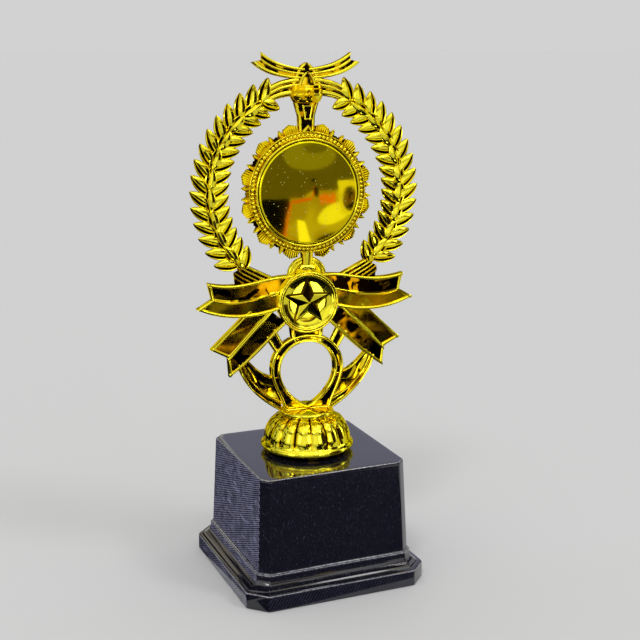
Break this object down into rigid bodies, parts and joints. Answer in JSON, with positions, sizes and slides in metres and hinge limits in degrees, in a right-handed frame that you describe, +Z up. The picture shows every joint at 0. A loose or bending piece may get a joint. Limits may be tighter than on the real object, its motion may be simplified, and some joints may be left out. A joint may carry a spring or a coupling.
{
  "type": "star trophy",
  "caption": "Gold laurel figure with a torch, ribbons, star medallion and round centre disc, clamped by a stud to a square black plinth on which it can be turned.",
  "frame": {"origin": "middle of the underside of the base, on the surface that it stands on", "axes": "+Z up through the stud, -Y out of the front face of the base, +X to the right seen from the front"},
  "size_m": [0.1151, 0.094, 0.2586],
  "materials": {
    "gold_plated_plastic": "gloss",
    "gold_mirror_disc": "gloss",
    "black_moulding": "gloss",
    "cover_card": "matte",
    "ballast": "matte",
    "zinc_steel": "satin",
    "foam_pad": "matte"
  },
  "bodies": {
    "base": {"base_shell": "black_moulding", "base_cover": "cover_card", "ballast_block": "ballast"},
    "figure": {"riser_dome": "gold_plated_plastic", "riser_collar": "gold_plated_plastic", "clamp_stud": "zinc_steel", "clamp_washer": "zinc_steel", "clamp_nut": "zinc_steel", "oval_ring": "gold_plated_plastic", "ring_link": "gold_plated_plastic", "medallion_dish": "gold_plated_plastic", "medallion_star": "gold_plated_plastic", "medallion_loop": "gold_plated_plastic", "disc_holder": "gold_plated_plastic", "disc_pad": "foam_pad", "centre_disc": "gold_mirror_disc", "holder_stem": "gold_plated_plastic", "torch_handle": "gold_plated_plastic", "torch_cup": "gold_plated_plastic", "torch_flame": "gold_plated_plastic", "crescent_left": "gold_plated_plastic", "crescent_right": "gold_plated_plastic", "ring_strut_left": "gold_plated_plastic", "ring_strut_right": "gold_plated_plastic", "ribbon_wing_left": "gold_plated_plastic", "ribbon_wing_right": "gold_plated_plastic", "ribbon_tail_left": "gold_plated_plastic", "ribbon_tail_right": "gold_plated_plastic", "laurel_stalks_left": "gold_plated_plastic", "laurel_stalks_right": "gold_plated_plastic", "wreath_left": "gold_plated_plastic", "wreath_right": "gold_plated_plastic", "cross_bar_left": "gold_plated_plastic", "cross_bar_right": "gold_plated_plastic", "crest_ribbon_left": "gold_plated_plastic", "crest_ribbon_right": "gold_plated_plastic"}
  },
  "joints": [
    {"name": "figure_turn", "type": "hinge", "parent": "base", "child": "figure", "pos_m": [0, 0, 0.0623], "axis": [0, 0, 1], "continuous": true}
  ]
}
